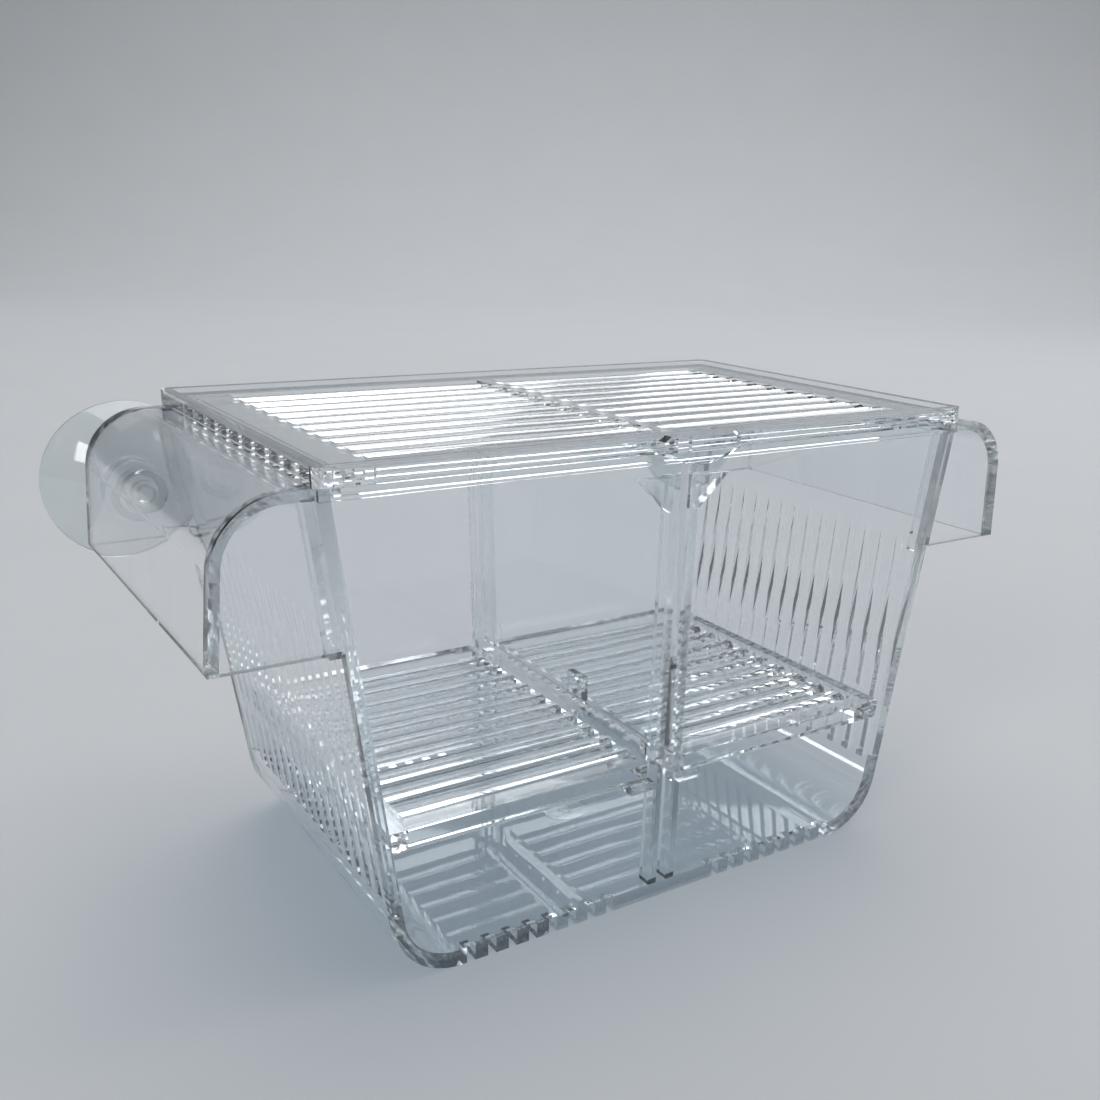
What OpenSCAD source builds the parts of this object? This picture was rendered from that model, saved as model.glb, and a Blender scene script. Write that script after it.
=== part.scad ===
// Hanging fish breeding box: a clear moulded tank with a float wing at each end,
// a slotted lid, a divider that drops between guide rails, two slotted floor grates
// and two suction cups that hold the box on the inside of an aquarium.
// X runs along the length, Y towards the aquarium glass, Z up.
// The origin is the centre of the tank's flat underside.

/* [Tank] */
// Height of the tank from its underside to its rim
tank_h = 70.4; // [64:0.1:80]
// Half the length of the flat part of the floor
floor_half = 34.4; // [30:0.1:40]
// Half the depth of the tank at the underside, outside
depth_half_bottom = 30.6; // [28:0.1:34]
// Half the depth of the tank at the rim, outside
depth_half_top = 33.6; // [32:0.1:36]
// Outside radius where the floor turns up into the end walls
corner_r = 10; // [7:0.1:14]
// Lean of the end walls from upright, in degrees
end_lean = 8; // [4:0.1:11]
// Thickness of the tank's walls and floor
wall_t = 1.8; // [1.4:0.1:2.4]
// Height of the rim flange on the front and back
rim_h = 1.5; // [1:0.1:3]
// How far the rim flange stands out from the front and back
rim_out = 0.6; // [0.3:0.05:1]
// Diameter of the shallow well round the moulding mark under the floor
mark_well_d = 8; // [5:0.5:12]
// Depth of the well
mark_well_h = 0.4; // [0.2:0.1:0.8]
// Diameter of the moulding mark in the well
mark_nub_d = 2.2; // [1:0.1:4]

/* [Wall slots] */
// Number of water slots in each end wall
slot_count = 16; // [8:1:18]
// Spacing of the water slots
slot_pitch = 3.65; // [3:0.05:4]
// Width of a water slot
slot_w = 1.5; // [1:0.1:2]
// Distance below the rim where the grooves start to cut into the wall
groove_drop = 19.4; // [14:0.1:24]
// Height where a groove comes out through the wall
break_z = 27; // [24:0.5:34]
// Height of the lower end of the slots
slot_foot = 12; // [11:0.5:18]

/* [Drain notches] */
// Number of notches in each group along the lower edges
notch_count = 8; // [4:1:9]
// Spacing of the notches
notch_pitch = 3.3; // [2.8:0.05:3.6]
// Distance of the first notch from the middle of the box
notch_first = 10; // [8:0.5:11]
// Width of a notch
notch_w = 1.3; // [0.8:0.1:1.8]
// Height of a notch
notch_h = 2.6; // [2:0.1:3.4]
// How far a notch reaches in from the outside of the panel
notch_reach = 3.4; // [2.6:0.1:5]

/* [Float wings] */
// How far a wing stands out past the end wall's rim
wing_out = 13.2; // [11:0.1:16]
// Height of a wing from the rim down to its open lower edge
wing_drop = 20.6; // [18:0.1:24]
// Outside radius of a wing's shoulder
wing_r = 9; // [6:0.1:10]
// Outward lean of a wing's skirt, in degrees
wing_lean = 4; // [1:0.5:6]
// Thickness of a wing's sheet
wing_t = 1.6; // [1.2:0.1:2]

/* [Corner posts] */
// How far a post stands out from the end wall
post_t = 1.5; // [1:0.1:2]
// How far a post stands in from the ear
post_d = 2.6; // [1.5:0.1:2.8]
// Distance of a post's foot below the rim
post_foot_drop = 21.8; // [15:0.1:26]

/* [Guide rails] */
// Width of one guide rib
rib_w = 1.5; // [1:0.1:2]
// How far the ribs stand in from the panel
rib_d = 2.4; // [2:0.1:3]
// Distance of the ribs' upper ends below the rim
rib_drop = 3.9; // [2.5:0.1:8]
// Length of the gusset beside a rib's upper end
gusset_l = 5.2; // [3:0.1:7]
// Height of a gusset
gusset_h = 5; // [3:0.1:8]
// How far a gusset stands in from the panel
gusset_d = 1.6; // [1:0.1:1.8]
// Height of the shoulders that carry the grates
shoulder_h = 1.4; // [1:0.1:2.5]
// How far a shoulder reaches along the panel
shoulder_l = 4; // [3:0.1:6]
// Height of the stop under the divider
stop_h = 1.8; // [1:0.1:3]

/* [Divider] */
// Thickness of the divider
divider_t = 1.4; // [1:0.1:2]
// Height of the divider's lower edge above the grates
divider_rise = 1; // [0.5:0.1:3]
// Distance of the divider's upper edge below the rim
divider_drop = 2; // [1.9:0.1:6]
// Chamfer on the divider's lower corners
divider_chamfer = 1.2; // [0.5:0.1:2]
// Diameter of the round moulding marks on the divider
mark_d = 3; // [2:0.1:4]
// Thickness of a moulding mark
mark_t = 0.15; // [0.1:0.05:0.3]

/* [Floor grates] */
// Height of the upper face of the grates
grate_top = 22.8; // [20:0.1:23]
// Height of the grate's frame
grate_h = 3; // [2.4:0.1:4]
// Width of the frame bars
frame_w = 3; // [2:0.1:4]
// Distance of a grate's inner end from the middle of the box
grate_gap_half = 0.5; // [0.4:0.1:1.2]
// Number of slots in a grate
grate_slots = 11; // [8:1:13]
// Width of a slot in a grate
grate_slot_w = 1.4; // [1:0.1:2]
// Thickness of a slat
grate_slat_t = 2; // [1.4:0.1:2.4]
// Radius of the rounded top of a slat
slat_crown_r = 4; // [3:0.1:8]
// Width of the lifting tab
tab_w = 4.6; // [4:0.1:6]
// Height of the lifting tab above the grate
tab_h = 4.2; // [3.6:0.1:5.5]
// Thickness of the lifting tab
tab_t = 1.2; // [1:0.1:1.6]
// Width of the upright oval hole in the lifting tab
tab_hole_w = 1.8; // [1.4:0.1:2.4]
// Height of the oval hole
tab_hole_h = 2.8; // [2.5:0.1:3.2]
// Distance of the lifting tab from the grate's inner end
tab_set_back = 0.8; // [0.6:0.1:1.6]
// Distance of the lifting tab from the middle of the bar, towards the front
tab_off = 2; // [0:0.5:8]

/* [Lid] */
// Overhang of the lid past the tank's rim at each end
lid_over_l = 0.5; // [0:0.1:1.5]
// Overhang of the lid past the rim flange at the front and back
lid_over_w = 0.3; // [0:0.1:1.5]
// Thickness of the lid plate
lid_t = 1.8; // [1.4:0.1:2.4]
// Height of the raised border above the plate
border_h = 0.7; // [0.4:0.1:1.2]
// Width of the raised border
border_w = 1.6; // [1.2:0.1:2.4]
// Radius of the lid's corners
lid_corner_r = 1.5; // [1:0.1:3]
// Width of the plain margin at each end of the slotted field
field_margin_l = 9; // [6:0.1:13]
// Width of the plain margin in front of and behind the slotted field
field_margin_w = 6.5; // [5:0.1:9]
// Width of the bar between the two slotted columns
centre_bar_w = 3; // [2:0.1:5]
// Number of slots in each column
lid_slots = 11; // [8:1:13]
// Width of a slot in the lid
lid_slot_w = 1.2; // [0.8:0.1:2]
// Height of the locating lip under the lid
lip_h = 1.6; // [1:0.1:1.8]
// Thickness of the locating lip
lip_t = 1.2; // [0.8:0.1:2]
// Half the width of the finger tab at its root
finger_half_w = 6.4; // [4:0.1:8]
// How far the finger tab stands out in front of the lid
finger_out = 1.5; // [1:0.1:2.5]
// How far the finger tab hangs below the lid plate
finger_drop = 1.7; // [1:0.1:2.5]

/* [Suction cups] */
// Distance of a suction cup's axis past the end wall's rim
cup_out = 4.6; // [4:0.1:7]
// Distance of a suction cup's axis below the rim
cup_drop = 13.4; // [10:0.1:14]
// Diameter of a suction cup's lip
cup_d = 26; // [22:0.5:28]
// Diameter of the neck in the ear's hole
cup_neck_d = 5; // [4:0.1:6]
// Diameter of the button that holds the neck in its hole
cup_button_d = 7.6; // [6.5:0.1:8.4]
// Thickness of the button
cup_button_t = 2; // [1.5:0.1:3]
// Diameter of the nib on the button
cup_nib_d = 4.2; // [3:0.1:5]
// Height of the nib
cup_nib_h = 1.4; // [0.8:0.1:2]
// Diameter of the collar behind the ear
cup_collar_d = 8.6; // [7.6:0.1:9.6]
// Length of the collar
cup_collar_h = 4.2; // [2:0.1:5]
// Depth of the cup's outer dome
cup_dome = 6.6; // [5:0.1:8]
// Depth of the cup's hollow
cup_hollow = 5; // [3.5:0.1:5.5]
// Width of the flat lip that seals on the glass
cup_lip_w = 0.8; // [0.5:0.1:1.5]
// Thickness of the lip
cup_lip_t = 0.5; // [0.3:0.1:0.8]

/* [Fits] */
// Gap between the lid and the rim it rests on
lid_seat_gap = 0.1; // [0.05:0.05:0.3]
// Gap round the locating lip
lip_gap = 0.4; // [0.2:0.05:0.6]
// Gap on each side of the divider in its rails
divider_gap = 0.2; // [0.1:0.05:0.4]
// Gap between the divider's edges and the panels
divider_edge_gap = 0.35; // [0.2:0.05:0.6]
// Gap between a grate and the panels
grate_edge_gap = 0.4; // [0.2:0.05:0.8]
// Gap between a grate and what carries it
grate_seat_gap = 0.1; // [0.05:0.05:0.3]
// Gap between a rib and the inner end of a grate's front bar, along the box
grate_bar_gap = 1; // [0.8:0.1:1.4]
// Gap between a rib and the cut corner of a grate, across the box
grate_cut_gap = 0.6; // [0.5:0.05:1]
// Gap round a suction cup's neck in its hole
cup_neck_gap = 0.06; // [0.03:0.01:0.1]
// Gap between the ear and the faces that hold it
cup_face_gap = 0.3; // [0.25:0.05:0.5]

/* [Hidden] */
$fn = 96;

// Reach of cutters past the faces they cut
over = 1;
clear_tank = [0.86, 0.92, 0.95, 0.35];
clear_rail = [0.80, 0.90, 0.95, 0.45];
clear_lid = [0.90, 0.95, 0.98, 0.45];
clear_grate = [0.84, 0.91, 0.95, 0.45];
clear_cup = [0.82, 0.88, 0.90, 0.55];

// Slope of the front and back panels
panel_slope = (depth_half_top - depth_half_bottom) / tank_h;
// Half the length of the tank at its rim, and half the overall length
rim_half = end_x(tank_h, 0);
wing_half = rim_half + wing_out;
// Heights tied to the rim
wing_foot = tank_h - wing_drop;
groove_top = tank_h - groove_drop;
rib_top = tank_h - rib_drop;
divider_top = tank_h - divider_drop;
divider_foot = grate_top + divider_rise;
// Half length and half depth of the lid, and of its slotted field
lid_half_l = rim_half + lid_over_l;
lid_half_w = depth_half_top + rim_out + lid_over_w;
field_half_l = lid_half_l - field_margin_l;
field_half_w = lid_half_w - field_margin_w;
// Place of a suction cup's axis
cup_x = rim_half + cup_out;
cup_z = tank_h - cup_drop;
// Height where an end wall leaves the rounded corner on the outside
corner_z = corner_r * (1 - sin(end_lean));
// Height of the joint between the floor pan and the end walls
pan_top = corner_z + over;
// Height of the shoulder that carries a grate
grate_foot = grate_top - grate_h;
// Outer side of a guide rib, from the middle of the box
rib_edge = divider_t / 2 + divider_gap + rib_w;
// Length and width of the corner cut off a grate to clear a rib
grate_cut_l = rib_edge + grate_bar_gap - grate_gap_half;
grate_cut_w = grate_cut_l * (rib_d + grate_cut_gap - grate_edge_gap) / grate_bar_gap;
// Heights of the lid's underside, plate top and border top
lid_z = tank_h + lid_seat_gap;
lid_plate_z = lid_z + lid_t;
lid_top_z = lid_plate_z + border_h;
// Middle of a wing's shoulder arc
wing_cx = wing_half - wing_r / cos(wing_lean)
    - (tank_h - wing_r - wing_foot) * tan(wing_lean);
wing_cz = tank_h - wing_r;
// Places of a suction cup's collar, dome and sealing face behind the middle
cup_collar_y = panel_y(cup_z + cup_collar_d / 2, 0) + cup_face_gap;
cup_apex_y = cup_collar_y + cup_collar_h;
cup_lip_y = cup_apex_y + cup_dome;

// Outside half depth of the tank at height z, less an inset
function panel_y(z, inset) = depth_half_bottom + panel_slope * z - inset;
// Half length of the end wall's face at height z, less an inset square to it
function end_x(z, inset) = floor_half + (corner_r - inset) / cos(end_lean)
    + (z - corner_r) * tan(end_lean);

// Carries a profile drawn in X and Z through the whole depth of the tank
module through_depth(depth = 2 * (depth_half_top + 4 * over)) {
    rotate([90, 0, 0])
        linear_extrude(depth, center = true)
            children();
}

// Carries a profile drawn in Y and Z along X
module along_length(from, length) {
    translate([from, 0, 0])
        rotate([90, 0, 90])
            linear_extrude(length)
                children();
}

// Everything between the two panels, less an inset from their outsides
module between_panels(inset) {
    low = -2 * over;
    high = tank_h + 8 * over;
    along_length(-wing_half - over, 2 * (wing_half + over))
        polygon([
            [-panel_y(low, inset), low], [panel_y(low, inset), low],
            [panel_y(high, inset), high], [-panel_y(high, inset), high]]);
}

// Outline of the tank's floor, rounded corners and leaning ends
module trough_2d(inset, high) {
    r = corner_r - inset;
    foot_x = floor_half + r * cos(end_lean);
    foot_z = corner_r - r * sin(end_lean);
    polygon([
        [-end_x(high, inset), high], [-foot_x, foot_z], [-floor_half, inset],
        [floor_half, inset], [foot_x, foot_z], [end_x(high, inset), high]]);
    for (side = [-1, 1])
        translate([side * floor_half, corner_r])
            circle(r);
}

// Outline of the right wing, with its skirt, shoulder and flat top, drawn well
// into the end wall and carried a little below its open edge
module wing_2d(inset, below) {
    r = wing_r - inset;
    foot = wing_foot - below;
    skirt_x = wing_cx + r / cos(wing_lean) + (wing_cz - foot) * tan(wing_lean);
    inside_x = end_x(wing_foot, wall_t / 2);
    polygon([
        [inside_x, foot], [skirt_x, foot],
        [wing_cx + r * cos(wing_lean), wing_cz + r * sin(wing_lean)],
        [wing_cx, tank_h - inset], [inside_x, tank_h - inset]]);
    translate([wing_cx, wing_cz])
        circle(r);
}

// Outline shared by the front and back panels, ears included
module panel_2d() {
    trough_2d(0, tank_h);
    wing_2d(0, 0);
    mirror([1, 0])
        wing_2d(0, 0);
}

// Cutters for the two groups of notches along one lower edge
module notches(back) {
    side = back ? 1 : -1;
    outer_y = panel_y(0, 0) + over;
    for (half = [-1, 1], i = [0 : notch_count - 1])
        translate([half * (notch_first + i * notch_pitch) - notch_w / 2,
            side > 0 ? panel_y(0, 0) - notch_reach : -outer_y, -over])
            cube([notch_w, notch_reach + over, notch_h + over]);
}

// Front or back panel with its ears, rim flange and drain notches
module panel(back) {
    side = back ? 1 : -1;
    difference() {
        union() {
            difference() {
                intersection() {
                    through_depth()
                        panel_2d();
                    between_panels(0);
                }
                between_panels(wall_t);
                translate([-wing_half - over, side > 0 ? -2 * tank_h : 0, -over])
                    cube([2 * (wing_half + over), 2 * tank_h, tank_h + 2 * over]);
            }
            rim_flange(side);
        }
        notches(back);
    }
}

// Narrow flange on the outside of a panel, just under the lid
module rim_flange(side) {
    low = tank_h - rim_h;
    far = depth_half_top + rim_out;
    along_length(-rim_half, 2 * rim_half)
        polygon([
            [side * (panel_y(low, wall_t / 2)), low], [side * far, low],
            [side * far, tank_h], [side * (panel_y(tank_h, wall_t / 2)), tank_h]]);
}

module front_panel() {
    color(clear_tank)
        panel(false);
}

module back_panel() {
    color(clear_tank)
        difference() {
            panel(true);
            for (side = [-1, 1])
                translate([side * cup_x, depth_half_top + 3 * over, cup_z])
                    rotate([90, 0, 0])
                        cylinder(h = wall_t + 8 * over, d = cup_neck_d + 2 * cup_neck_gap);
        }
}

// One upright cutter: it enters the inside of the wall at the groove's top and
// comes out through the wall lower down, because the wall leans more than it does
module slot_blade() {
    enter_x = end_x(groove_top, wall_t);
    leave_x = end_x(break_z, 0);
    foot_x = enter_x - (groove_top - slot_foot) * (enter_x - leave_x) / (groove_top - break_z);
    through_depth(slot_w)
        polygon([
            [enter_x, groove_top], [foot_x, slot_foot],
            [end_x(slot_foot, wall_t) - over, slot_foot], [enter_x - 8 * over, groove_top]]);
}

// Right end wall with its row of tapering slots
module end_wall() {
    difference() {
        intersection() {
            between_panels(wall_t);
            through_depth()
                difference() {
                    trough_2d(0, tank_h);
                    trough_2d(wall_t, tank_h + over);
                }
            translate([0, -tank_h, pan_top])
                cube([wing_half, 2 * tank_h, tank_h]);
        }
        for (i = [0 : slot_count - 1])
            translate([0, (i - (slot_count - 1) / 2) * slot_pitch, 0])
                slot_blade();
    }
}

module left_end_wall() {
    color(clear_tank)
        mirror([1, 0, 0])
            end_wall();
}

module right_end_wall() {
    color(clear_tank)
        end_wall();
}

// Ring that leaves the moulding mark standing in its well under the floor
module mark_well() {
    difference() {
        translate([0, 0, -over])
            cylinder(h = mark_well_h + over, d = mark_well_d);
        translate([0, 0, mark_well_h / 4])
            cylinder(h = mark_well_h, d = mark_nub_d);
    }
}

// Floor with its rounded ends, cut by the drain notches
module floor_pan() {
    color(clear_tank)
        difference() {
            intersection() {
                between_panels(wall_t);
                through_depth()
                    difference() {
                        trough_2d(0, tank_h);
                        trough_2d(wall_t, tank_h + over);
                    }
                translate([-wing_half, -tank_h, -over])
                    cube([2 * wing_half, 2 * tank_h, pan_top + over]);
            }
            notches(false);
            notches(true);
            mark_well();
        }
}

// Right float wing: a bent sheet that traps air, open below
module float_wing() {
    intersection() {
        between_panels(wall_t);
        difference() {
            through_depth()
                wing_2d(0, 0);
            through_depth(4 * depth_half_top)
                wing_2d(wing_t, over);
            through_depth(4 * depth_half_top)
                trough_2d(0, tank_h + over);
        }
    }
}

module left_float_wing() {
    color(clear_tank)
        mirror([1, 0, 0])
            float_wing();
}

module right_float_wing() {
    color(clear_tank)
        float_wing();
}

// Upright post under the right wing, in the corner between the end wall and the
// front ear
module corner_post() {
    low = tank_h - post_foot_drop;
    high = tank_h - wing_t;
    difference() {
        intersection() {
            between_panels(wall_t);
            through_depth()
                polygon([
                    [end_x(low, 0), low], [end_x(low, 0) + post_t, low],
                    [end_x(high, 0) + post_t, high], [end_x(high, 0), high]]);
        }
        between_panels(wall_t + post_d);
        cube([2 * wing_half, 2 * depth_half_top, 2 * tank_h]);
    }
}

module left_front_post() {
    color(clear_tank)
        mirror([1, 0, 0])
            corner_post();
}

module right_front_post() {
    color(clear_tank)
        corner_post();
}

module left_back_post() {
    color(clear_tank)
        mirror([1, 0, 0])
            mirror([0, 1, 0])
                corner_post();
}

module right_back_post() {
    color(clear_tank)
        mirror([0, 1, 0])
            corner_post();
}

// Two slanting gussets beside the upper ends of the front ribs
module gussets() {
    low = rib_top - gusset_h;
    difference() {
        intersection() {
            between_panels(wall_t);
            through_depth()
                for (side = [-1, 1])
                    polygon([
                        [side * (rib_edge - rib_w / 2), low], [side * rib_edge, low],
                        [side * (rib_edge + gusset_l), rib_top],
                        [side * (rib_edge - rib_w / 2), rib_top]]);
        }
        between_panels(wall_t + gusset_d);
        translate([-wing_half, 0, 0])
            cube([2 * wing_half, 2 * depth_half_top, 2 * tank_h]);
    }
}

// Two upright ribs on the front panel, the stop under the divider between them,
// and a shoulder on each side that carries the inner corner of a grate
module guide_rails() {
    gussets();
    slot_half = divider_t / 2 + divider_gap;
    stop_top = divider_foot - divider_gap;
    seat_z = grate_foot - grate_seat_gap;
    difference() {
        intersection() {
            between_panels(wall_t);
            union() {
                for (side = [-1, 1])
                    translate([side > 0 ? slot_half : -slot_half - rib_w, -depth_half_top, wall_t])
                        cube([rib_w, depth_half_top, rib_top - wall_t]);
                translate([-slot_half - over / 2, -depth_half_top, stop_top - stop_h])
                    cube([2 * slot_half + over, depth_half_top, stop_h]);
                translate([-slot_half - rib_w - shoulder_l, -depth_half_top, seat_z - shoulder_h])
                    cube([2 * (slot_half + rib_w + shoulder_l), depth_half_top, shoulder_h]);
            }
        }
        between_panels(wall_t + rib_d);
        translate([-slot_half, -depth_half_top, seat_z - shoulder_h - over])
            cube([2 * slot_half, depth_half_top, stop_top - stop_h - seat_z + shoulder_h + over]);
    }
}

module front_guide_rails() {
    color(clear_rail)
        guide_rails();
}

module back_guide_rails() {
    color(clear_rail)
        mirror([0, 1, 0])
            guide_rails();
}

// Outline of one slat with a crowned top, centred on its own middle
module slat_2d(width, thick) {
    intersection() {
        translate([-width / 2, -thick])
            square([width, thick]);
        translate([0, -slat_crown_r])
            circle(slat_crown_r);
    }
}

// A row of slats between slots that fills a span across Y, tops at height top
module slats(from, length, span, slots, slot, thick, top) {
    width = (span - slots * slot) / (slots - 1);
    pitch = width + slot;
    along_length(from, length)
        for (i = [0 : slots - 2])
            translate([(i - (slots - 2) / 2) * pitch, top])
                slat_2d(width, thick);
}

// Plan of a grate, with its two inner corners cut off beside the ribs
module grate_plan(half_y) {
    inner_x = grate_gap_half;
    bar_x = inner_x + grate_cut_l;
    cut_y = half_y - grate_cut_w;
    reach_y = half_y + over;
    reach_x = bar_x + over * grate_cut_l / grate_cut_w;
    polygon([
        [inner_x, -cut_y], [reach_x, -reach_y], [wing_half, -reach_y],
        [wing_half, reach_y], [reach_x, reach_y], [inner_x, cut_y]]);
}

// Right floor grate: a frame of four bars with slats along the box
module grate() {
    inner_x = grate_gap_half;
    end_gap = wall_t + grate_seat_gap;
    opening_x = end_x(grate_foot, end_gap) - frame_w;
    half_y = panel_y(grate_foot, wall_t + grate_edge_gap);
    open_half_y = half_y - frame_w;
    intersection() {
        between_panels(wall_t + grate_edge_gap);
        through_depth()
            polygon([
                [inner_x, grate_foot], [end_x(grate_foot, end_gap), grate_foot],
                [end_x(grate_top, end_gap), grate_top], [inner_x, grate_top]]);
        translate([0, 0, grate_foot - over])
            linear_extrude(grate_h + 2 * over)
                grate_plan(half_y);
        difference() {
            translate([0, -tank_h, grate_foot])
                cube([wing_half, 2 * tank_h, grate_h]);
            translate([inner_x + frame_w, -open_half_y, grate_foot - over])
                cube([opening_x - inner_x - frame_w, 2 * open_half_y, grate_h + 2 * over]);
        }
    }
    slats(inner_x + frame_w / 2, opening_x - inner_x, 2 * open_half_y,
        grate_slots, grate_slot_w, grate_slat_t, grate_top);
}

// Upright lifting tab on the right grate's inner bar, with an upright oval hole
module grate_lifting_tab() {
    hole_r = tab_hole_w / 2;
    hole_rise = tab_hole_h / 2 - hole_r;
    color(clear_grate)
        translate([grate_gap_half + tab_set_back, -tab_off, grate_top])
            rotate([90, 0, 90])
                linear_extrude(tab_t)
                    difference() {
                        translate([-tab_w / 2, 0])
                            square([tab_w, tab_h]);
                        translate([-hole_r, tab_h / 2 - hole_rise])
                            square([2 * hole_r, 2 * hole_rise]);
                        for (side = [-1, 1])
                            translate([0, tab_h / 2 + side * hole_rise])
                                circle(hole_r);
                    }
}

module left_floor_grate() {
    color(clear_grate)
        mirror([1, 0, 0])
            grate();
}

module right_floor_grate() {
    color(clear_grate)
        grate();
}

// Upright plate between the two rooms
module divider() {
    edge = wall_t + divider_edge_gap;
    foot_y = panel_y(divider_foot, edge);
    top_y = panel_y(divider_top, edge);
    c = divider_chamfer;
    mark_z = divider_foot + mark_d;
    color(clear_lid)
        union() {
            along_length(-divider_t / 2, divider_t)
                polygon([
                    [-foot_y, divider_foot + c], [-foot_y + c, divider_foot],
                    [foot_y - c, divider_foot], [foot_y, divider_foot + c],
                    [top_y, divider_top], [-top_y, divider_top]]);
            for (side = [-1, 1])
                translate([divider_t / 2 - mark_t, side * (foot_y - rib_d - mark_d), mark_z])
                    rotate([0, 90, 0])
                        cylinder(h = 2 * mark_t, d = mark_d);
        }
}

// Plan of a rectangle with rounded corners, built from straight and round parts
module round_plan(half_l, half_w, r) {
    square([2 * half_l, 2 * (half_w - r)], center = true);
    square([2 * (half_l - r), 2 * half_w], center = true);
    for (sx = [-1, 1], sy = [-1, 1])
        translate([sx * (half_l - r), sy * (half_w - r)])
            circle(r);
}

// Finger tab on the front edge of the lid, with a drooping lower edge
module finger_tab() {
    w = finger_half_w;
    translate([0, -lid_half_w + over, 0])
        rotate([90, 0, 0])
            linear_extrude(over + finger_out)
                polygon([
                    [-w, lid_z], [-w, lid_plate_z], [-w + over, lid_top_z],
                    [w - over, lid_top_z], [w, lid_plate_z], [w, lid_z]]);
    translate([0, -lid_half_w - rim_out / 2, 0])
        rotate([90, 0, 0])
            linear_extrude(finger_out - rim_out / 2)
                polygon([
                    [-w, lid_z + over / 2], [-w, lid_z], [-w / 4, lid_z - finger_drop],
                    [w / 4, lid_z - finger_drop], [w, lid_z], [w, lid_z + over / 2]]);
}

// Lid with a raised border, two columns of crowned slats and a locating lip
module lid() {
    lip_half_l = end_x(tank_h - lip_h, wall_t) - lip_gap;
    lip_half_w = panel_y(tank_h - lip_h, wall_t) - lip_gap;
    column_l = field_half_l - centre_bar_w / 2;
    color(clear_lid)
        union() {
            difference() {
                union() {
                    translate([0, 0, lid_z])
                        linear_extrude(lid_t)
                            round_plan(lid_half_l, lid_half_w, lid_corner_r);
                    translate([0, 0, lid_plate_z - over / 2])
                        linear_extrude(border_h + over / 2)
                            difference() {
                                round_plan(lid_half_l, lid_half_w, lid_corner_r);
                                square([2 * (lid_half_l - border_w), 2 * (lid_half_w - border_w)],
                                    center = true);
                            }
                }
                for (side = [-1, 1])
                    translate([side > 0 ? centre_bar_w / 2 : -field_half_l, -field_half_w, lid_z - over])
                        cube([column_l, 2 * field_half_w, lid_t + border_h + 2 * over]);
            }
            translate([0, 0, lid_z - lip_h])
                linear_extrude(lip_h + over / 2)
                    difference() {
                        square([2 * lip_half_l, 2 * lip_half_w], center = true);
                        square([2 * (lip_half_l - lip_t), 2 * (lip_half_w - lip_t)], center = true);
                    }
            slats(-field_half_l - over, 2 * (field_half_l + over), 2 * field_half_w,
                lid_slots, lid_slot_w, lid_t, lid_plate_z);
            finger_tab();
        }
}

// Soft suction cup turned about its own axis: button, neck, collar, dome and lip
module suction_cup() {
    lip_r = cup_d / 2;
    hollow_r = lip_r - cup_lip_w;
    dome_h = cup_dome - cup_lip_t;
    dome_R = (lip_r * lip_r + dome_h * dome_h) / (2 * dome_h);
    hollow_R = (hollow_r * hollow_r + cup_hollow * cup_hollow) / (2 * cup_hollow);
    ear_y = panel_y(cup_z - cup_collar_d / 2, wall_t) - cup_face_gap;
    translate([0, 0, cup_z])
        rotate([-90, 0, 0])
            rotate_extrude()
                union() {
                    translate([0, ear_y - cup_button_t - cup_nib_h])
                        square([cup_nib_d / 2, cup_nib_h + over]);
                    translate([0, ear_y - cup_button_t])
                        square([cup_button_d / 2, cup_button_t]);
                    translate([0, ear_y - over])
                        square([cup_neck_d / 2, cup_collar_y - ear_y + 2 * over]);
                    translate([0, cup_collar_y])
                        square([cup_collar_d / 2, cup_collar_h + cup_hollow / 4]);
                    difference() {
                        union() {
                            intersection() {
                                translate([0, cup_apex_y + dome_R])
                                    circle(dome_R);
                                translate([0, cup_apex_y])
                                    square([lip_r, dome_h]);
                            }
                            translate([0, cup_lip_y - cup_lip_t])
                                square([lip_r, cup_lip_t]);
                        }
                        intersection() {
                            translate([0, cup_lip_y - cup_hollow + hollow_R])
                                circle(hollow_R);
                            translate([0, cup_apex_y])
                                square([hollow_r, cup_dome + over]);
                        }
                    }
                }
}

module left_suction_cup() {
    color(clear_cup)
        translate([-cup_x, 0, 0])
            suction_cup();
}

module right_suction_cup() {
    color(clear_cup)
        translate([cup_x, 0, 0])
            suction_cup();
}

front_panel();
back_panel();
left_end_wall();
right_end_wall();
floor_pan();
left_float_wing();
right_float_wing();
left_front_post();
right_front_post();
left_back_post();
right_back_post();
front_guide_rails();
back_guide_rails();
lid();
divider();
left_floor_grate();
right_floor_grate();
grate_lifting_tab();
left_suction_cup();
right_suction_cup();
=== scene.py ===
"""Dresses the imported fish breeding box.

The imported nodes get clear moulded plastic, two turned cups of soft vinyl stand for the plain ones,
and a pale floor, soft lamps and the camera at the photograph's angle make the studio.
"""

import logging
import math
from dataclasses import dataclass
from enum import Enum

import bmesh
import bpy
import numpy as np
from mathutils import Matrix, Vector

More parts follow.
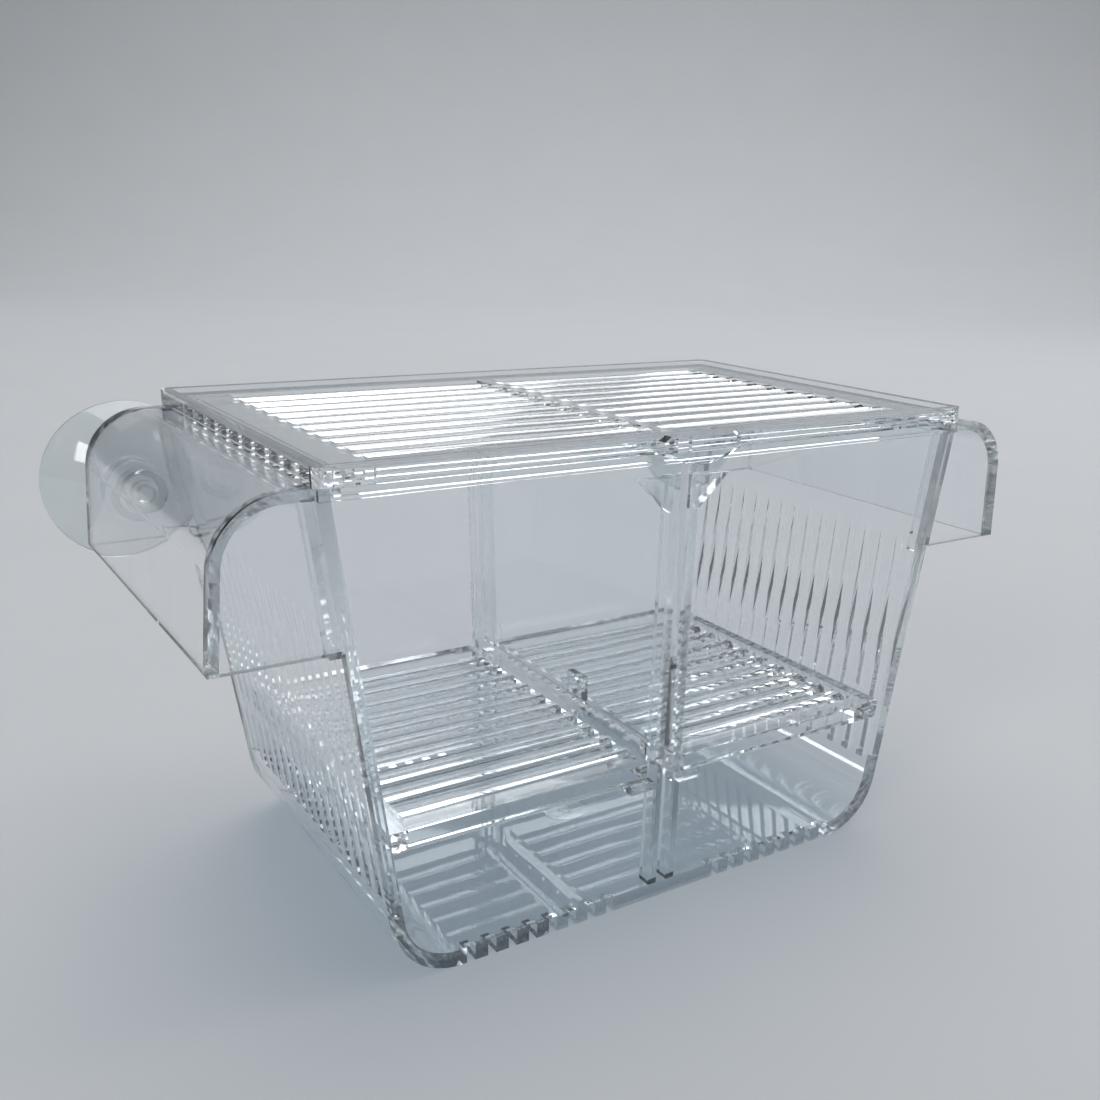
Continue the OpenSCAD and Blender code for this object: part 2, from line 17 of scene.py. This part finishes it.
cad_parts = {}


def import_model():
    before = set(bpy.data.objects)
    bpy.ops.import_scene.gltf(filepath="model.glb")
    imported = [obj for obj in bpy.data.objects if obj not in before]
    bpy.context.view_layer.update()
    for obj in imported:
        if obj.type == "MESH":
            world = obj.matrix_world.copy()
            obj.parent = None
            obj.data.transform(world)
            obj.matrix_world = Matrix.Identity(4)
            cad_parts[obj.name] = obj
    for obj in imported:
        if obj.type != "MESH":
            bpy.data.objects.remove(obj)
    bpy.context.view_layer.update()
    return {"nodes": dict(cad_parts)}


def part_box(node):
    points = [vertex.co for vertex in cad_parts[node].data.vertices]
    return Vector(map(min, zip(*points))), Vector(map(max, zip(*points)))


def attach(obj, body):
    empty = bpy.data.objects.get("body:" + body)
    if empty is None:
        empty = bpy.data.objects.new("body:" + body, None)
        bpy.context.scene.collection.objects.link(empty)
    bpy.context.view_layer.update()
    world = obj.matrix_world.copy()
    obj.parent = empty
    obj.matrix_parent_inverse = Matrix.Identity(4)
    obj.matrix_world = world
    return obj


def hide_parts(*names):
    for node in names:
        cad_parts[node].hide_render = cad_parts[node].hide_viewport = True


LOG = logging.getLogger("breeding_box")
MM = 0.001


class Side(Enum):
    """Which end of the box a piece belongs to, as a sign along X."""

    LEFT = -1
    RIGHT = 1

    @property
    def word(self) -> str:
        """The end's name as it stands in node names."""
        return self.name.lower()


class Value:
    """A shader socket for use in Python expressions; each operation adds its Math node."""

    def __init__(self, sheet: "ShaderSheet", socket: bpy.types.NodeSocket) -> None:
        """Wraps one output socket.

        Args:
            sheet: the material's node sheet that new nodes go into.
            socket: the output socket that carries the number.
        """
        self.sheet = sheet
        self.socket = socket

    def _math(self, operation: str, *terms: "Value | float") -> "Value":
        """Adds a Math node over the given terms and returns its result."""
        return self.sheet.add("ShaderNodeMath", {"operation": operation}, dict(enumerate(terms)))

    def __add__(self, other: "Value | float") -> "Value":
        """self + other."""
        return self._math("ADD", self, other)

    def __radd__(self, other: float) -> "Value":
        """other + self."""
        return self._math("ADD", other, self)

    def __mul__(self, other: "Value | float") -> "Value":
        """self * other."""
        return self._math("MULTIPLY", self, other)

    def __rmul__(self, other: float) -> "Value":
        """other * self."""
        return self._math("MULTIPLY", other, self)

    def step_between(self, low: float, high: float) -> "Value":
        """Smooth step: 0 below low, 1 above high.

        Args:
            low: value where the step starts.
            high: value where the step is complete.

        Returns:
            The stepped value.
        """
        return self.sheet.add(
            "ShaderNodeMapRange",
            {"interpolation_type": "SMOOTHSTEP"},
            {"Value": self, "From Min": low, "From Max": high},
        )


class ShaderSheet:
    """The node tree of one new material, filled through a single method for every kind of node."""

    def __init__(self, name: str) -> None:
        """Starts an empty material.

        Args:
            name: the material's name.
        """
        self.material = bpy.data.materials.new(name)
        self.material.use_nodes = True
        self.tree = self.material.node_tree
        self.tree.nodes.clear()

    def add(self, kind: str, settings: dict | None = None, inputs: dict | None = None,
            output: str | int = 0) -> Value:
        """Adds one node.

        Args:
            kind: the node's type, such as ShaderNodeMath.
            settings: attributes set on the node first, such as operation.
            inputs: numbers, colours or Values for its sockets, by name or index.
            output: which output the returned Value carries.

        Returns:
            The chosen output.
        """
        node = self.tree.nodes.new(kind)
        for key, value in (settings or {}).items():
            setattr(node, key, value)
        for key, value in (inputs or {}).items():
            if isinstance(value, Value):
                self.tree.links.new(value.socket, node.inputs[key])
            else:
                node.inputs[key].default_value = value
        return Value(self, node.outputs[output])

    def place(self, stretch: tuple[float, float, float] = (1, 1, 1)) -> Value:
        """Object coordinates, scaled along each axis by a Mapping node."""
        coordinates = self.add("ShaderNodeTexCoord", output="Object")
        return self.add("ShaderNodeMapping", {}, {"Vector": coordinates, "Scale": stretch})

    def noise(self, at: Value, scale: float, detail: float, roughness: float) -> Value:
        """Noise between 0 and 1.

        Args:
            at: coordinates to read it at.
            scale: how many features there are to a metre.
            detail: octaves.
            roughness: weight of the finer octaves.

        Returns:
            The noise value.
        """
        return self.add("ShaderNodeTexNoise", {"noise_dimensions": "3D"}, {
            "Vector": at, "Scale": scale, "Detail": detail, "Roughness": roughness})

    def blend(self, share: "Value | float", a: tuple, b: tuple) -> Value:
        """Mixes two colours.

        Args:
            share: how much of the second colour.
            a: first colour.
            b: second colour.

        Returns:
            The mixed colour.
        """
        return self.add("ShaderNodeMix", {"data_type": "RGBA"},
                        {0: share, 6: a, 7: b}, output=2)

    def open_to_lamps(self, surface: Value, shadow_tint: tuple[float, float, float]) -> Value:
        """Lets shadow rays through a surface with only a faint tint.

        Args:
            surface: the shader that every other ray meets.
            shadow_tint: colour of the light that passes.

        Returns:
            The mixed shader.
        """
        lamp_ray = self.add("ShaderNodeLightPath", output="Is Shadow Ray")
        open_way = self.add("ShaderNodeBsdfTransparent", {}, {"Color": (*shadow_tint, 1)})
        return self.add("ShaderNodeMixShader", {}, {0: lamp_ray, 1: surface, 2: open_way})

    def finish(self, shader: Value) -> bpy.types.Material:
        """Links the shader to a new output node and returns the material."""
        end = self.tree.nodes.new("ShaderNodeOutputMaterial")
        self.tree.links.new(shader.socket, end.inputs["Surface"])
        return self.material


@dataclass(frozen=True)
class ClearPlastic:
    """Polished clear moulded plastic: refracting, with faint flow marks, haze and specks.

    Scales count features to a metre, depths are metres, and draw is how far the flow marks are
    drawn out along Z: the smaller, the longer.
    """

    name: str
    tint: tuple[float, float, float] = (0.975, 0.988, 0.994)
    tint_deep: tuple[float, float, float] = (0.945, 0.968, 0.98)
    ior: float = 1.5
    polish: float = 0.015
    haze: float = 0.09
    haze_share: float = 0.35
    flow_scale: float = 55.0
    flow_depth: float = 0.00006
    flow_strength: float = 0.6
    draw: float = 0.28
    fine_scale: float = 900.0
    fine_share: float = 0.02
    speck_scale: float = 2600.0
    cloud_scale: float = 38.0
    shadow_tint: tuple[float, float, float] = (0.90, 0.93, 0.95)

    def material(self) -> bpy.types.Material:
        """Builds the node material.

        Returns:
            The finished material.
        """
        sheet = ShaderSheet(self.name)
        even = sheet.place()
        drawn = sheet.place((1.0, 1.0, self.draw))
        flow = sheet.noise(drawn, self.flow_scale, 2.0, 0.45)
        fine = sheet.noise(even, self.fine_scale, 2.0, 0.6)
        specks = sheet.noise(even, self.speck_scale, 1.0, 0.5).step_between(0.70, 0.80)
        clouds = sheet.noise(even, self.cloud_scale, 3.0, 0.55).step_between(0.45, 0.75)
        base = sheet.blend(flow, (*self.tint_deep, 1), (*self.tint, 1))
        rough = self.polish + clouds * fine * (self.haze * self.haze_share) + specks * self.haze
        wavy = sheet.add("ShaderNodeBump", {}, {
            "Strength": self.flow_strength, "Distance": self.flow_depth,
            "Height": flow + fine * self.fine_share})
        plastic = sheet.add("ShaderNodeBsdfPrincipled", {}, {
            "Base Color": base, "Roughness": rough, "IOR": self.ior,
            "Transmission Weight": 1.0, "Normal": wavy})
        return sheet.finish(sheet.open_to_lamps(plastic, self.shadow_tint))


@dataclass(frozen=True)
class SoftVinyl:
    """Clear soft vinyl, slightly milky, with a dull cloudy bloom and a fine grain."""

    name: str
    tint: tuple[float, float, float] = (0.93, 0.96, 0.97)
    tint_deep: tuple[float, float, float] = (0.80, 0.86, 0.88)
    ior: float = 1.52
    milk: float = 0.13
    polish: float = 0.06
    cloud_scale: float = 120.0
    cloud_rough: float = 0.07
    grain_scale: float = 1500.0
    grain_rough: float = 0.03
    grain_share: float = 0.05
    skin_depth: float = 0.00008
    skin_strength: float = 0.5
    shadow_tint: tuple[float, float, float] = (0.86, 0.89, 0.90)

    def material(self) -> bpy.types.Material:
        """Builds the node material.

        Returns:
            The finished material.
        """
        sheet = ShaderSheet(self.name)
        even = sheet.place()
        clouds = sheet.noise(even, self.cloud_scale, 3.0, 0.55)
        grain = sheet.noise(even, self.grain_scale, 2.0, 0.6)
        base = sheet.blend(clouds, (*self.tint_deep, 1), (*self.tint, 1))
        rough = (self.polish + clouds.step_between(0.4, 0.7) * self.cloud_rough
                 + grain * self.grain_rough)
        skin = sheet.add("ShaderNodeBump", {}, {
            "Strength": self.skin_strength, "Distance": self.skin_depth,
            "Height": clouds + grain * self.grain_share})
        vinyl = sheet.add("ShaderNodeBsdfPrincipled", {}, {
            "Base Color": base, "Roughness": rough, "IOR": self.ior,
            "Transmission Weight": 1.0 - self.milk, "Normal": skin})
        return sheet.finish(sheet.open_to_lamps(vinyl, self.shadow_tint))


@dataclass(frozen=True)
class PaleFloor:
    """Plain pale studio floor with a very faint mottle."""

    name: str = "studio_floor"
    light: tuple[float, float, float] = (0.47, 0.485, 0.505)
    dark: tuple[float, float, float] = (0.445, 0.46, 0.48)
    mottle_scale: float = 14.0
    roughness: float = 0.85
    shine: float = 0.2

    def material(self) -> bpy.types.Material:
        """Builds the node material.

        Returns:
            The finished material.
        """
        sheet = ShaderSheet(self.name)
        mottle = sheet.noise(sheet.place(), self.mottle_scale, 4.0, 0.5)
        base = sheet.blend(mottle, (*self.dark, 1), (*self.light, 1))
        return sheet.finish(sheet.add("ShaderNodeBsdfPrincipled", {}, {
            "Base Color": base, "Roughness": self.roughness, "Specular IOR Level": self.shine}))


def shade_smooth(mesh: bpy.types.Mesh) -> None:
    """Marks every face of a mesh as smooth."""
    mesh.polygons.foreach_set("use_smooth", np.ones(len(mesh.polygons), dtype=bool))


def grid_mesh(name: str, points: np.ndarray, closed: bool) -> bpy.types.Mesh:
    """Turns a grid of points into quads, point (i, j) joined to (i + 1, j) and (i, j + 1).

    Args:
        name: the mesh's name.
        points: array of shape (rows, columns, 3), in metres.
        closed: whether the last column joins the first.

    Returns:
        The mesh, smooth shaded.
    """
    rows, columns = points.shape[:2]
    i = np.arange(rows - 1)[:, None]
    j = np.arange(columns if closed else columns - 1)[None, :]
    here, below, beside = i * columns, (i + 1) * columns, (j + 1) % columns
    quads = np.stack(np.broadcast_arrays(here + j, below + j, below + beside, here + beside), -1)
    mesh = bpy.data.meshes.new(name)
    mesh.from_pydata(points.reshape(-1, 3).tolist(), [], quads.reshape(-1, 4).tolist())
    mesh.update()
    shade_smooth(mesh)
    return mesh


def close_poles(mesh: bpy.types.Mesh) -> None:
    """Merges the coinciding points at a turned shape's poles and points its faces outwards."""
    work = bmesh.new()
    work.from_mesh(mesh)
    bmesh.ops.remove_doubles(work, verts=work.verts, dist=1e-7)
    bmesh.ops.recalc_face_normals(work, faces=work.faces)
    work.to_mesh(mesh)
    work.free()
    shade_smooth(mesh)


def add_object(mesh: bpy.types.Mesh, material: bpy.types.Material) -> bpy.types.Object:
    """Links a mesh into the scene as an object at the origin with one material.

    Args:
        mesh: the piece's mesh, with its place in its points.
        material: the finish it wears.

    Returns:
        The new object, named as its mesh.
    """
    mesh.materials.append(material)
    piece = bpy.data.objects.new(mesh.name, mesh)
    bpy.context.scene.collection.objects.link(piece)
    return piece


def rounded_profile(corners: np.ndarray, radii: np.ndarray, steps: int) -> np.ndarray:
    """Rounds an open profile's inner corners.

    Each corner P between neighbours A and B becomes a quadratic curve from the point its radius
    away towards A to the point its radius away towards B, with P as the middle control point. A
    curve takes at most 0.48 of either side, so that two of them never meet.

    Args:
        corners: array of shape (n, 2).
        radii: how far from each corner its curve starts; 0 keeps it sharp.
        steps: points on each curve.

    Returns:
        The profile's points, shape (m, 2).
    """
    before, here, after = corners[:-2], corners[1:-1], corners[2:]
    to_a, to_b = before - here, after - here
    reach = radii[1:-1, None]
    len_a = np.linalg.norm(to_a, axis=1, keepdims=True)
    len_b = np.linalg.norm(to_b, axis=1, keepdims=True)
    start = here + to_a / len_a * np.minimum(reach, 0.48 * len_a)
    end = here + to_b / len_b * np.minimum(reach, 0.48 * len_b)
    t = np.linspace(0, 1, steps)[None, :, None]
    curve = (1 - t) ** 2 * start[:, None] + 2 * t * (1 - t) * here[:, None] + t ** 2 * end[:, None]
    return np.concatenate([corners[:1], curve.reshape(-1, 2), corners[-1:]])


@dataclass
class SuctionCup:
    """One clear soft suction cup, turned about its axis: nib, button, neck, collar, skirt, hollow.

    Its sizes are in metres; each _share is a share of the nib's radius.
    """

    side: Side
    finish: SoftVinyl
    segments: int = 96
    rows: int = 18
    end_gap: float = 0.02 * MM
    nib_r: float = 2.05 * MM
    nib_h: float = 1.4 * MM
    boss_share: float = 0.55
    boss_h: float = 0.45 * MM
    crown_share: float = 0.8
    crown_drop: float = 0.1 * MM
    nib_edge: float = 0.3 * MM
    button_r: float = 3.75 * MM
    button_foot: float = 3.4 * MM
    neck_r: float = 2.45 * MM
    collar_r: float = 4.25 * MM
    collar_h: float = 3.4 * MM
    collar_step: float = 0.3 * MM
    bell_h: float = 10.75 * MM
    root_r: float = 4.6 * MM
    flare: float = 0.62
    lip_r: float = 12.95 * MM
    lip_t: float = 0.85 * MM
    lip_w: float = 0.8 * MM
    lip_edge_w: float = 0.2 * MM
    lip_edge_h: float = 0.25 * MM
    hollow_h: float = 4.9 * MM
    hollow_bend: float = 2.2
    edge_r: float = 0.12 * MM
    shoulder_r: float = 0.35 * MM

    def profile(self, front_y: float, back_y: float) -> np.ndarray:
        """The cup's outline as radius and distance along its axis.

        It runs from the nib's tip on the axis, over button, neck, collar and the skirt's outside
        to the lip, then back through the hollow to the axis. The skirt's radius grows with the
        power flare of the distance, so that it widens fast at its root; the hollow's depth is one
        minus the power hollow_bend of its radius.

        Args:
            front_y: the nib's tip.
            back_y: the sealing face of the lip.

        Returns:
            Array of shape (m, 2), radius first.
        """
        nib_y, button_y = front_y + self.nib_h, front_y + self.button_foot
        collar_y = back_y - self.bell_h
        apex_y = collar_y + self.collar_h
        t = np.linspace(0.0, 1.0, self.rows)
        skirt_y = apex_y + (back_y - self.lip_t - apex_y) * t
        skirt_r = self.root_r + (self.lip_r - self.root_r) * t ** self.flare
        skirt = np.stack([skirt_r, skirt_y], 1)
        ring = np.array([[self.collar_r, collar_y], [self.collar_r, apex_y - self.collar_step]])
        u = np.linspace(1.0, 0.0, self.rows)
        hollow_r = (self.lip_r - self.lip_w) * u
        hollow_y = back_y - self.hollow_h * (1 - u ** self.hollow_bend)
        hollow = np.stack([hollow_r, hollow_y], 1)
        boss_r = self.nib_r * self.boss_share
        head = np.array([
            [0.0, front_y], [boss_r, front_y], [boss_r, front_y + self.boss_h],
            [self.nib_r * self.crown_share, front_y + self.crown_drop],
            [self.nib_r, front_y + self.nib_edge],
            [self.nib_r, nib_y], [self.button_r, nib_y], [self.button_r, button_y],
            [self.neck_r, button_y], [self.neck_r, collar_y]])
        lip = np.array([[self.lip_r, back_y - self.lip_edge_h],
                        [self.lip_r - self.lip_edge_w, back_y]])
        corners = np.concatenate([head, ring, skirt, lip, hollow])
        radii = np.full(len(corners), self.edge_r)
        radii[5:len(head) + len(ring)] = self.shoulder_r
        return rounded_profile(corners, radii, 4)

    def build(self) -> bpy.types.Object:
        """Builds the cup around the CAD cup's axis and lets it stand for that node.

        A point of the profile at radius r and distance y goes to (x + r cos a, y, z + r sin a) for
        each angle a.

        Returns:
            The cup's object.
        """
        node = f"{self.side.word}_suction_cup"
        low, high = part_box(node)
        centre_x, centre_z = (low.x + high.x) / 2, (low.z + high.z) / 2
        outline = self.profile(low.y + self.end_gap, high.y - self.end_gap)
        outline[[0, -1], 0] = 0.0
        angle = np.linspace(0, 2 * math.pi, self.segments, endpoint=False)
        r, y = outline[:, 0][:, None], outline[:, 1][:, None]
        points = np.stack(np.broadcast_arrays(
            centre_x + r * np.cos(angle), y, centre_z + r * np.sin(angle)), -1)
        mesh = grid_mesh(f"{self.side.word}_cup_soft", points, closed=True)
        close_poles(mesh)
        cup = add_object(mesh, self.finish.material())
        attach(cup, f"{self.side.word}_cup")
        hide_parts(node)
        return cup


def wear(piece: bpy.types.Object, material: bpy.types.Material) -> None:
    """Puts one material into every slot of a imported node.

    Args:
        piece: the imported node's object.
        material: the finish it wears.
    """
    if not piece.material_slots:
        piece.data.materials.append(material)
    for slot in piece.material_slots:
        slot.material = material


@dataclass
class Tank:
    """The tank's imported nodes, dressed in clear plastic."""

    nodes: dict[str, bpy.types.Object]
    finish: ClearPlastic
    names: tuple[str, ...] = (
        "front_panel", "back_panel", "left_end_wall", "right_end_wall", "floor_pan",
        "left_float_wing", "right_float_wing", "left_front_post", "right_front_post",
        "left_back_post", "right_back_post", "front_guide_rails", "back_guide_rails")

    def dress(self) -> None:
        """Gives every tank node the tank's plastic."""
        plastic = self.finish.material()
        for name in self.names:
            wear(self.nodes[name], plastic)
            LOG.info("tank node %s dressed", name)


@dataclass
class LoosePlates:
    """Lid, divider, grates and lifting tab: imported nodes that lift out, in clear plastic."""

    nodes: dict[str, bpy.types.Object]
    finishes: dict[str, ClearPlastic]

    def dress(self) -> None:
        """Gives each plate its own plastic."""
        for name, finish in self.finishes.items():
            wear(self.nodes[name], finish.material())
            LOG.info("plate %s dressed", name)


@dataclass(frozen=True)
class Softbox:
    """One soft rectangular lamp; place, aim and size are in metres, its power in watts."""

    name: str
    place: tuple[float, float, float]
    aim: tuple[float, float, float]
    size: tuple[float, float]
    watts: float

    def hang(self) -> None:
        """Adds the lamp to the scene, facing its aim and hidden from the camera."""
        data = bpy.data.lights.new(self.name, "AREA")
        data.shape = "RECTANGLE"
        data.size, data.size_y = self.size
        data.energy = self.watts
        lamp = bpy.data.objects.new(self.name, data)
        lamp.location = self.place
        facing = Vector(self.aim) - Vector(self.place)
        lamp.rotation_euler = facing.to_track_quat("-Z", "Y").to_euler()
        lamp.visible_camera = False
        bpy.context.scene.collection.objects.link(lamp)


@dataclass
class Studio:
    """Floor sweep, soft lamps, dim world and the camera at the photograph's angle.

    Lengths are in metres. The camera's focal length and centre are in pixels of the photograph,
    as its fit gave them.
    """

    floor_finish: PaleFloor
    reach: float = 1.6
    flat_start: float = 1.0
    half_width: float = 3.0
    sweep_r: float = 0.5
    sweep_back: float = 1.1
    wall_h: float = 1.6
    flat_rows: int = 8
    bend_rows: int = 24
    yaw: float = math.radians(35.25)
    pitch: float = math.radians(-16.36)
    roll: float = math.radians(1.72)
    eye: tuple[float, float, float] = (-0.09812, -0.16239, 0.1010)
    photo_px: float = 1100
    focal_px: float = 1195.6
    centre_px: tuple[float, float] = (646.9, 566.9)
    sensor_mm: float = 36.0
    air: tuple[float, float, float] = (0.75, 0.8, 0.86)
    air_strength: float = 0.08
    lamps: tuple[Softbox, ...] = (
        Softbox("top_softbox", (0.3, 0.4, 2.0), (0.1, 0.2, 0.0), (2.0, 2.0), 36.0),
        Softbox("back_softbox", (0.92, 1.3, 0.85), (0, 0, 0.07), (1.6, 0.9), 14.0),
        Softbox("left_softbox", (-1.0, -0.5, 0.8), (0, 0, 0.04), (0.35, 0.5), 6.0),
        Softbox("right_strip", (1.1, -0.25, 0.55), (0, 0, 0.04), (0.25, 0.9), 4.0))

    def build_floor(self) -> bpy.types.Object:
        """Builds the floor and backdrop as one sweep.

        The profile is a flat floor, a quarter circle and an upright wall; it is carried along a
        straight line square to the viewing direction.

        Returns:
            The sweep's object.
        """
        bend = np.linspace(0, math.pi / 2, self.bend_rows)[1:]
        along = np.concatenate([[-self.reach],
                                np.linspace(-self.flat_start, self.sweep_back, self.flat_rows),
                                self.sweep_back + self.sweep_r * np.sin(bend),
                                [self.sweep_back + self.sweep_r]])
        height = np.concatenate([np.zeros(self.flat_rows + 1),
                                 self.sweep_r * (1 - np.cos(bend)), [self.wall_h]])
        across = np.linspace(-self.half_width, self.half_width, 5)
        ahead = np.array([math.sin(self.yaw), math.cos(self.yaw)])
        right = np.array([math.cos(self.yaw), -math.sin(self.yaw)])
        x = along[:, None] * ahead[0] + across[None, :] * right[0]
        y = along[:, None] * ahead[1] + across[None, :] * right[1]
        z = np.broadcast_to(height[:, None], x.shape)
        floor = add_object(grid_mesh("studio_sweep", np.stack([x, y, z], -1), closed=False),
                           self.floor_finish.material())
        return floor

    def light(self) -> None:
        """Hangs the lamps and sets the dim world."""
        for lamp in self.lamps:
            lamp.hang()
        world = bpy.data.worlds.new("studio_air")
        bpy.context.scene.world = world
        world.use_nodes = True
        world.node_tree.nodes["Background"].inputs[0].default_value = (*self.air, 1)
        world.node_tree.nodes["Background"].inputs[1].default_value = self.air_strength

    def place_camera(self) -> None:
        """Puts the camera where the photograph was taken from."""
        ahead = Vector((math.sin(self.yaw) * math.cos(self.pitch),
                        math.cos(self.yaw) * math.cos(self.pitch), math.sin(self.pitch)))
        level = Vector((math.cos(self.yaw), -math.sin(self.yaw), 0.0))
        upright = level.cross(ahead)
        right = level * math.cos(self.roll) + upright * math.sin(self.roll)
        up = upright * math.cos(self.roll) - level * math.sin(self.roll)
        data = bpy.data.cameras.new("photo_camera")
        data.sensor_fit = "HORIZONTAL"
        data.sensor_width = self.sensor_mm
        data.lens = self.focal_px / self.photo_px * self.sensor_mm
        data.shift_x = (self.photo_px / 2 - self.centre_px[0]) / self.photo_px
        data.shift_y = (self.centre_px[1] - self.photo_px / 2) / self.photo_px
        data.clip_start, data.clip_end = 0.01, 20.0
        camera = bpy.data.objects.new("photo_camera", data)
        turn = Matrix((right, up, -ahead)).transposed().to_4x4()
        camera.matrix_world = Matrix.Translation(self.eye) @ turn
        bpy.context.scene.collection.objects.link(camera)
        bpy.context.scene.camera = camera

    def set_up(self) -> None:
        """Builds the whole studio and sets the view and how often light may bounce."""
        self.build_floor()
        self.light()
        self.place_camera()
        scene = bpy.context.scene
        scene.view_settings.view_transform = "Standard"
        scene.cycles.max_bounces = 40
        scene.cycles.transmission_bounces = 32
        scene.cycles.transparent_max_bounces = 24
        scene.cycles.glossy_bounces = 32
        scene.cycles.diffuse_bounces = 3
        scene.cycles.caustics_reflective = False
        scene.cycles.caustics_refractive = False
        scene.cycles.sample_clamp_indirect = 4.0


def main() -> None:
    logging.basicConfig(level=logging.INFO, format="%(name)s: %(message)s")
    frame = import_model()
    nodes = frame["nodes"]
    Tank(nodes, ClearPlastic("tank_clear")).dress()
    LoosePlates(nodes, {
        "lid": ClearPlastic("lid_clear"),
        "divider": ClearPlastic("divider_clear"),
        "left_floor_grate": ClearPlastic("left_grate_clear"),
        "right_floor_grate": ClearPlastic("right_grate_clear"),
        "grate_lifting_tab": ClearPlastic("tab_clear"),
    }).dress()
    for side in Side:
        cup = SuctionCup(side, SoftVinyl(f"{side.word}_cup_vinyl")).build()
        LOG.info("soft cup %s built", cup.name)
    Studio(PaleFloor()).set_up()


if __name__ == "__main__":
    main()
